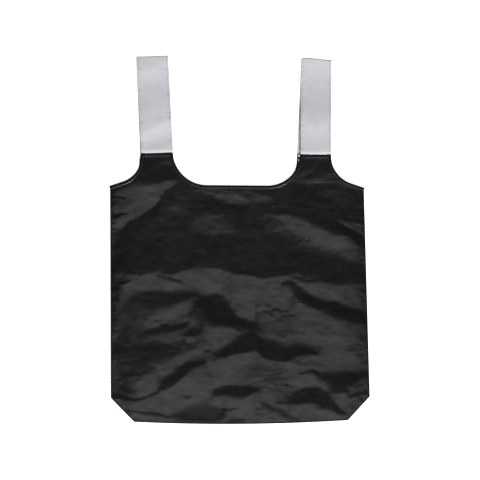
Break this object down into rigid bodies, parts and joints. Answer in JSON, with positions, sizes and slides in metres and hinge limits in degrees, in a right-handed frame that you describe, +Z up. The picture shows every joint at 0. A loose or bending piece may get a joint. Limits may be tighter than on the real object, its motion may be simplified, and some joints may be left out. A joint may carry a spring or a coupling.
{
  "type": "foldable tote bag",
  "caption": "Flat vest-shaped tote bag of thin woven cloth with two strap loops, which folds in thirds into a small pack.",
  "frame": {"origin": "centre of the rectangle that the flat bag covers, on the surface it lies on", "axes": "+Y from the bottom seam towards the handles, +Z up out of the front panel, +X to the right as the front is seen"},
  "size_m": [0.387, 0.552, 0.0071],
  "materials": {
    "black_cloth": "thin crinkled black taffeta with a soft sheen",
    "grey_cloth": "smooth light grey woven strap, matt",
    "black_thread": "spun black sewing thread",
    "grey_thread": "spun light grey sewing thread",
    "label_satin": "white woven satin with a dark woven edge, blank"
  },
  "bodies": {
    "middle": {"front_panel_middle": "black_cloth", "back_panel_middle": "black_cloth", "left_side_seam_middle": "black_cloth", "right_side_seam_middle": "black_cloth"},
    "lower": {"front_panel_lower": "black_cloth", "back_panel_lower": "black_cloth", "left_side_seam_lower": "black_cloth", "right_side_seam_lower": "black_cloth", "left_corner_seam": "black_cloth", "right_corner_seam": "black_cloth", "bottom_seam": "black_cloth", "corner_stitching": "black_thread"},
    "upper": {"front_panel_upper": "black_cloth", "back_panel_upper": "black_cloth", "left_side_seam_upper": "black_cloth", "right_side_seam_upper": "black_cloth", "front_mouth_hem": "black_cloth", "back_mouth_hem": "black_cloth", "front_left_armhole_hem": "black_cloth", "front_right_armhole_hem": "black_cloth", "back_left_armhole_hem": "black_cloth", "back_right_armhole_hem": "black_cloth", "front_hem_stitching": "black_thread", "back_hem_stitching": "black_thread", "front_left_strap_end": "grey_cloth", "front_right_strap_end": "grey_cloth", "back_left_strap_end": "grey_cloth", "back_right_strap_end": "grey_cloth", "tab_stitching": "black_thread", "blank_label": "label_satin"},
    "left_handle": {"left_strap": "grey_cloth", "left_strap_stitching": "grey_thread"},
    "right_handle": {"right_strap": "grey_cloth", "right_strap_stitching": "grey_thread"}
  },
  "joints": [
    {"name": "lower_fold", "type": "hinge", "parent": "middle", "child": "lower", "pos_m": [0, -0.157, 0.0074], "axis": [-1, 0, 0], "range_deg": [0, 180]},
    {"name": "upper_fold", "type": "hinge", "parent": "middle", "child": "upper", "pos_m": [0, -0.038, 0.0152], "axis": [1, 0, 0], "range_deg": [0, 180]},
    {"name": "left_handle_fold", "type": "hinge", "parent": "upper", "child": "left_handle", "pos_m": [-0.119, 0.138, 0.0075], "axis": [1, 0, 0], "range_deg": [0, 180]},
    {"name": "right_handle_fold", "type": "hinge", "parent": "upper", "child": "right_handle", "pos_m": [0.119, 0.138, 0.0075], "axis": [1, 0, 0], "range_deg": [0, 180]}
  ]
}
